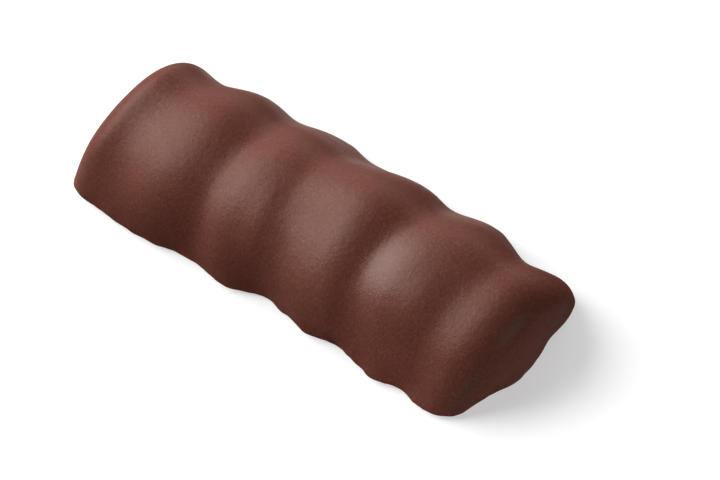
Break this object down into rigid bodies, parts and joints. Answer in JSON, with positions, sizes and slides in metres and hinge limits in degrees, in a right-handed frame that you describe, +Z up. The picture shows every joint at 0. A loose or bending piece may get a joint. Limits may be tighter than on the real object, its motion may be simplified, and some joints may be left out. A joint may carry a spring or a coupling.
{
  "type": "marshmallow twist bar",
  "caption": "Chocolate-coated marshmallow bar with a flat foot, a rounded crown and soft ridges winding across it.",
  "frame": {"origin": "middle of the bar's box, on the plane of its flat foot", "axes": "+X along the bar towards its lower end, +Y to the far side, +Z up through the crown"},
  "size_m": [0.0896, 0.0336, 0.0203],
  "materials": {
    "chocolate_coat": "satin"
  },
  "bodies": {
    "root": {"coated_bar": "chocolate_coat"}
  },
  "joints": []
}
